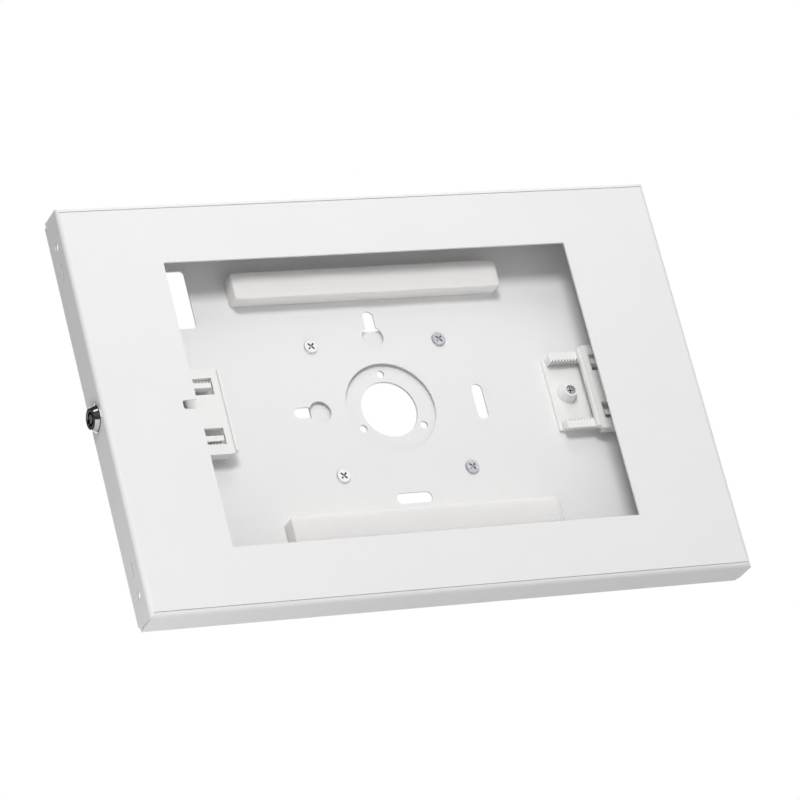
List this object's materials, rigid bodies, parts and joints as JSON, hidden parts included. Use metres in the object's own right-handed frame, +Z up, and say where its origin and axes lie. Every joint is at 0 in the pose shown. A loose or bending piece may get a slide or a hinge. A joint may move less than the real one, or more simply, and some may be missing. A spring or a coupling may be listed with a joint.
{
  "type": "lockable tablet holder",
  "caption": "Lockable folded-steel case that holds a tablet behind a display window, with a key lock, hinged cover, ratchet clamps and an adapter plate for a stand.",
  "frame": {"origin": "centre of the stand's bolt circle, on the rear face of the adapter plate", "axes": "+X to the right across the front, +Y to the rear (towards the stand or wall), +Z up; the display window faces -Y"},
  "size_m": [0.3486, 0.028, 0.2297],
  "materials": {
    "white_coat": "fine matt white powder coat",
    "zinc_screws": "bright zinc plate",
    "foam": "matt closed-cell foam, off-white",
    "lock_chrome": "polished chrome",
    "zinc_nut": "zinc plate",
    "lock_core": "nickel-plated brass, worn bright on the post",
    "lock_pins": "bare brass",
    "zinc_cam": "zinc plate",
    "clamp_plastic": "satin moulded white",
    "steel_pin": "plain ground steel"
  },
  "bodies": {
    "tray": {"rear_tray": "white_coat", "adapter_plate": "white_coat", "adapter_screws": "zinc_screws", "foam_strip_top": "foam", "foam_strip_bottom": "foam", "left_clamp_base": "clamp_plastic", "right_clamp_base": "clamp_plastic", "left_clamp_screw": "zinc_screws", "right_clamp_screw": "zinc_screws", "upper_hinge_tray_leaf": "white_coat", "lower_hinge_tray_leaf": "white_coat", "upper_hinge_pin": "steel_pin", "lower_hinge_pin": "steel_pin"},
    "cover": {"front_cover": "white_coat", "lock_housing": "lock_chrome", "lock_nut": "zinc_nut", "upper_hinge_cover_leaf": "white_coat", "lower_hinge_cover_leaf": "white_coat"},
    "lock_core": {"lock_plug": "lock_core", "lock_pins": "lock_pins", "lock_cam": "zinc_cam", "lock_cam_screw": "zinc_screws"},
    "left_jaw": {"left_clamp_jaw": "clamp_plastic"},
    "right_jaw": {"right_clamp_jaw": "clamp_plastic"}
  },
  "joints": [
    {"name": "cover_hinge", "type": "hinge", "parent": "tray", "child": "cover", "pos_m": [0.16755, -0.0084, 0], "axis": [0, 0, 1], "range_deg": [0, 90]},
    {"name": "lock_turn", "type": "hinge", "parent": "cover", "child": "lock_core", "pos_m": [-0.1724, -0.0183, -0.00185], "axis": [1, 0, 0], "range_deg": [0, 90]},
    {"name": "left_jaw_slide", "type": "slide", "parent": "tray", "child": "left_jaw", "axis": [-1, 0, 0], "range_m": [-0.002, 0.0258]},
    {"name": "right_jaw_slide", "type": "slide", "parent": "tray", "child": "right_jaw", "axis": [1, 0, 0], "range_m": [-0.0234, 0.0044]}
  ]
}
